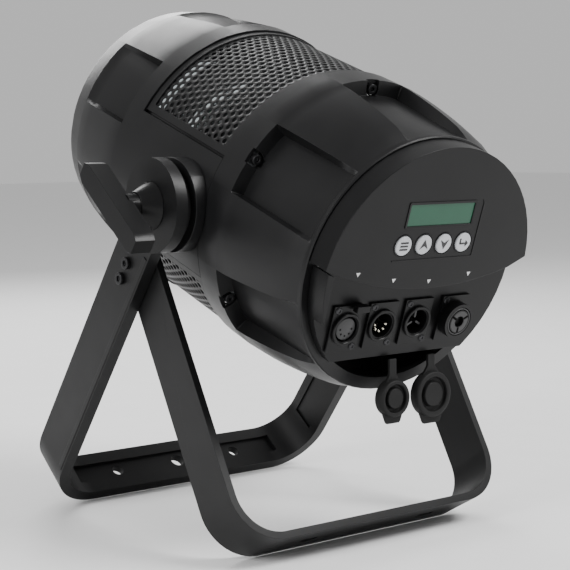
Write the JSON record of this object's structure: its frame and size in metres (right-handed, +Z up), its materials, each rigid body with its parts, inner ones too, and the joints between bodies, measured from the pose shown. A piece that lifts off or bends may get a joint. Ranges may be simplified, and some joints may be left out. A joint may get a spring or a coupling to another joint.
{
  "type": "par can light",
  "caption": "Zoom par stage light: tilting barrel with vented sides and a rear control panel, in a yoke with a folding floor stand.",
  "frame": {"origin": "floor point under the middle of the part's bounding box", "axes": "+Z up, the lens faces -Y, the control panel faces +Y, the tilt axis lies along X"},
  "size_m": [0.368, 0.4128, 0.4343],
  "materials": {
    "shell": "satin black powder coat",
    "grille": "satin black perforated sheet",
    "panel": "fine matt black moulding",
    "yoke": "satin black powder coat",
    "rubber": "matt black moulded rubber",
    "steel": "black oxide",
    "screen": "glossy, green and unlit",
    "button": "satin silver grey",
    "alloy": "plain mill finish",
    "board": "green solder mask",
    "glass": "clear, polished"
  },
  "bodies": {
    "yoke": {"outer_yoke": "yoke", "fold_bolt_left": "steel", "fold_bolt_right": "steel", "lock_bolt_left": "steel", "lock_bolt_right": "steel"},
    "stand": {"inner_stand": "yoke"},
    "lamp": {"front_shell": "shell", "rear_shell": "shell", "grille_top": "grille", "grille_bottom": "grille", "shell_screw_1": "steel", "shell_screw_2": "steel", "shell_screw_3": "steel", "shell_screw_4": "steel", "shell_screw_5": "steel", "shell_screw_6": "steel", "rear_cap": "panel", "connector_block": "panel", "lcd_window": "screen", "lcd_module": "board", "control_board": "board", "dmx_out_socket": "panel", "dmx_in_socket": "panel", "power_in_socket": "panel", "power_out_socket": "panel", "front_bezel": "shell", "front_glass": "glass", "front_gasket": "rubber", "guide_rod_left": "steel", "guide_rod_right": "steel", "zoom_bulkhead": "alloy", "zoom_motor": "steel", "led_lens_array": "glass", "led_board": "board", "heat_sink": "alloy", "fan_frame": "panel", "power_supply": "alloy", "side_boss_left": "shell", "side_boss_right": "shell", "friction_washer_left": "rubber", "friction_washer_right": "rubber"},
    "handle_left": {"clamp_handle_left": "panel"},
    "handle_right": {"clamp_handle_right": "panel"},
    "button_menu": {"button_menu": "button"},
    "button_up": {"button_up": "button"},
    "button_down": {"button_down": "button"},
    "button_enter": {"button_enter": "button"},
    "latch": {"dmx_out_latch": "panel"},
    "zoom_carriage": {"lens_carriage": "alloy", "zoom_lens": "glass"},
    "lead_screw": {"lead_screw": "steel"},
    "fan": {"fan_rotor": "panel"},
    "dmx_cap": {"dmx_in_cap": "rubber"},
    "power_cap": {"power_in_cap": "rubber"}
  },
  "joints": [
    {"name": "lamp_tilt", "type": "hinge", "parent": "yoke", "child": "lamp", "pos_m": [0, 0.0193, 0.26887], "axis": [1, 0, 0], "range_deg": [-75, 80]},
    {"name": "stand_fold", "type": "hinge", "parent": "yoke", "child": "stand", "pos_m": [0, -0.01601, 0.22285], "axis": [1, 0, 0], "range_deg": [-66.8, 0]},
    {"name": "handle_left_turn", "type": "hinge", "parent": "yoke", "child": "handle_left", "pos_m": [0.165, 0.0193, 0.26887], "axis": [1, 0, 0], "range_deg": [-360, 0]},
    {"name": "handle_right_turn", "type": "hinge", "parent": "yoke", "child": "handle_right", "pos_m": [-0.165, 0.0193, 0.26887], "axis": [1, 0, 0], "range_deg": [0, 360]},
    {"name": "button_menu_press", "type": "slide", "parent": "lamp", "child": "button_menu", "axis": [0, -0.9432, 0.3322], "range_m": [0, 0.0008], "stiffness_N_per_m": 400},
    {"name": "button_up_press", "type": "slide", "parent": "lamp", "child": "button_up", "axis": [0, -0.9432, 0.3322], "range_m": [0, 0.0008], "stiffness_N_per_m": 400},
    {"name": "button_down_press", "type": "slide", "parent": "lamp", "child": "button_down", "axis": [0, -0.9432, 0.3322], "range_m": [0, 0.0008], "stiffness_N_per_m": 400},
    {"name": "button_enter_press", "type": "slide", "parent": "lamp", "child": "button_enter", "axis": [0, -0.9432, 0.3322], "range_m": [0, 0.0008], "stiffness_N_per_m": 400},
    {"name": "latch_press", "type": "slide", "parent": "lamp", "child": "latch", "axis": [0, -0.9432, 0.3322], "range_m": [0, 0.0014], "stiffness_N_per_m": 400},
    {"name": "zoom_slide", "type": "slide", "parent": "lamp", "child": "zoom_carriage", "axis": [0, 0.9432, -0.3322], "range_m": [0, 0.045]},
    {"name": "lead_screw_turn", "type": "hinge", "parent": "lamp", "child": "lead_screw", "pos_m": [0, -0.12212, 0.22855], "axis": [0, 0.9432, -0.3322], "range_deg": [0, 2026]},
    {"name": "fan_spin", "type": "hinge", "parent": "lamp", "child": "fan", "pos_m": [0, 0.02402, 0.26721], "axis": [0, 0.9432, -0.3322], "continuous": true},
    {"name": "dmx_cap_swing", "type": "hinge", "parent": "lamp", "child": "dmx_cap", "pos_m": [0.008, 0.14125, 0.14853], "axis": [1, 0, 0], "range_deg": [-5, 95]},
    {"name": "power_cap_swing", "type": "hinge", "parent": "lamp", "child": "power_cap", "pos_m": [-0.032, 0.14125, 0.14853], "axis": [1, 0, 0], "range_deg": [-5, 95]}
  ],
  "couplings": [
    {"joint": "lead_screw_turn", "follows": "zoom_slide", "rad_per_m": 785.4}
  ]
}
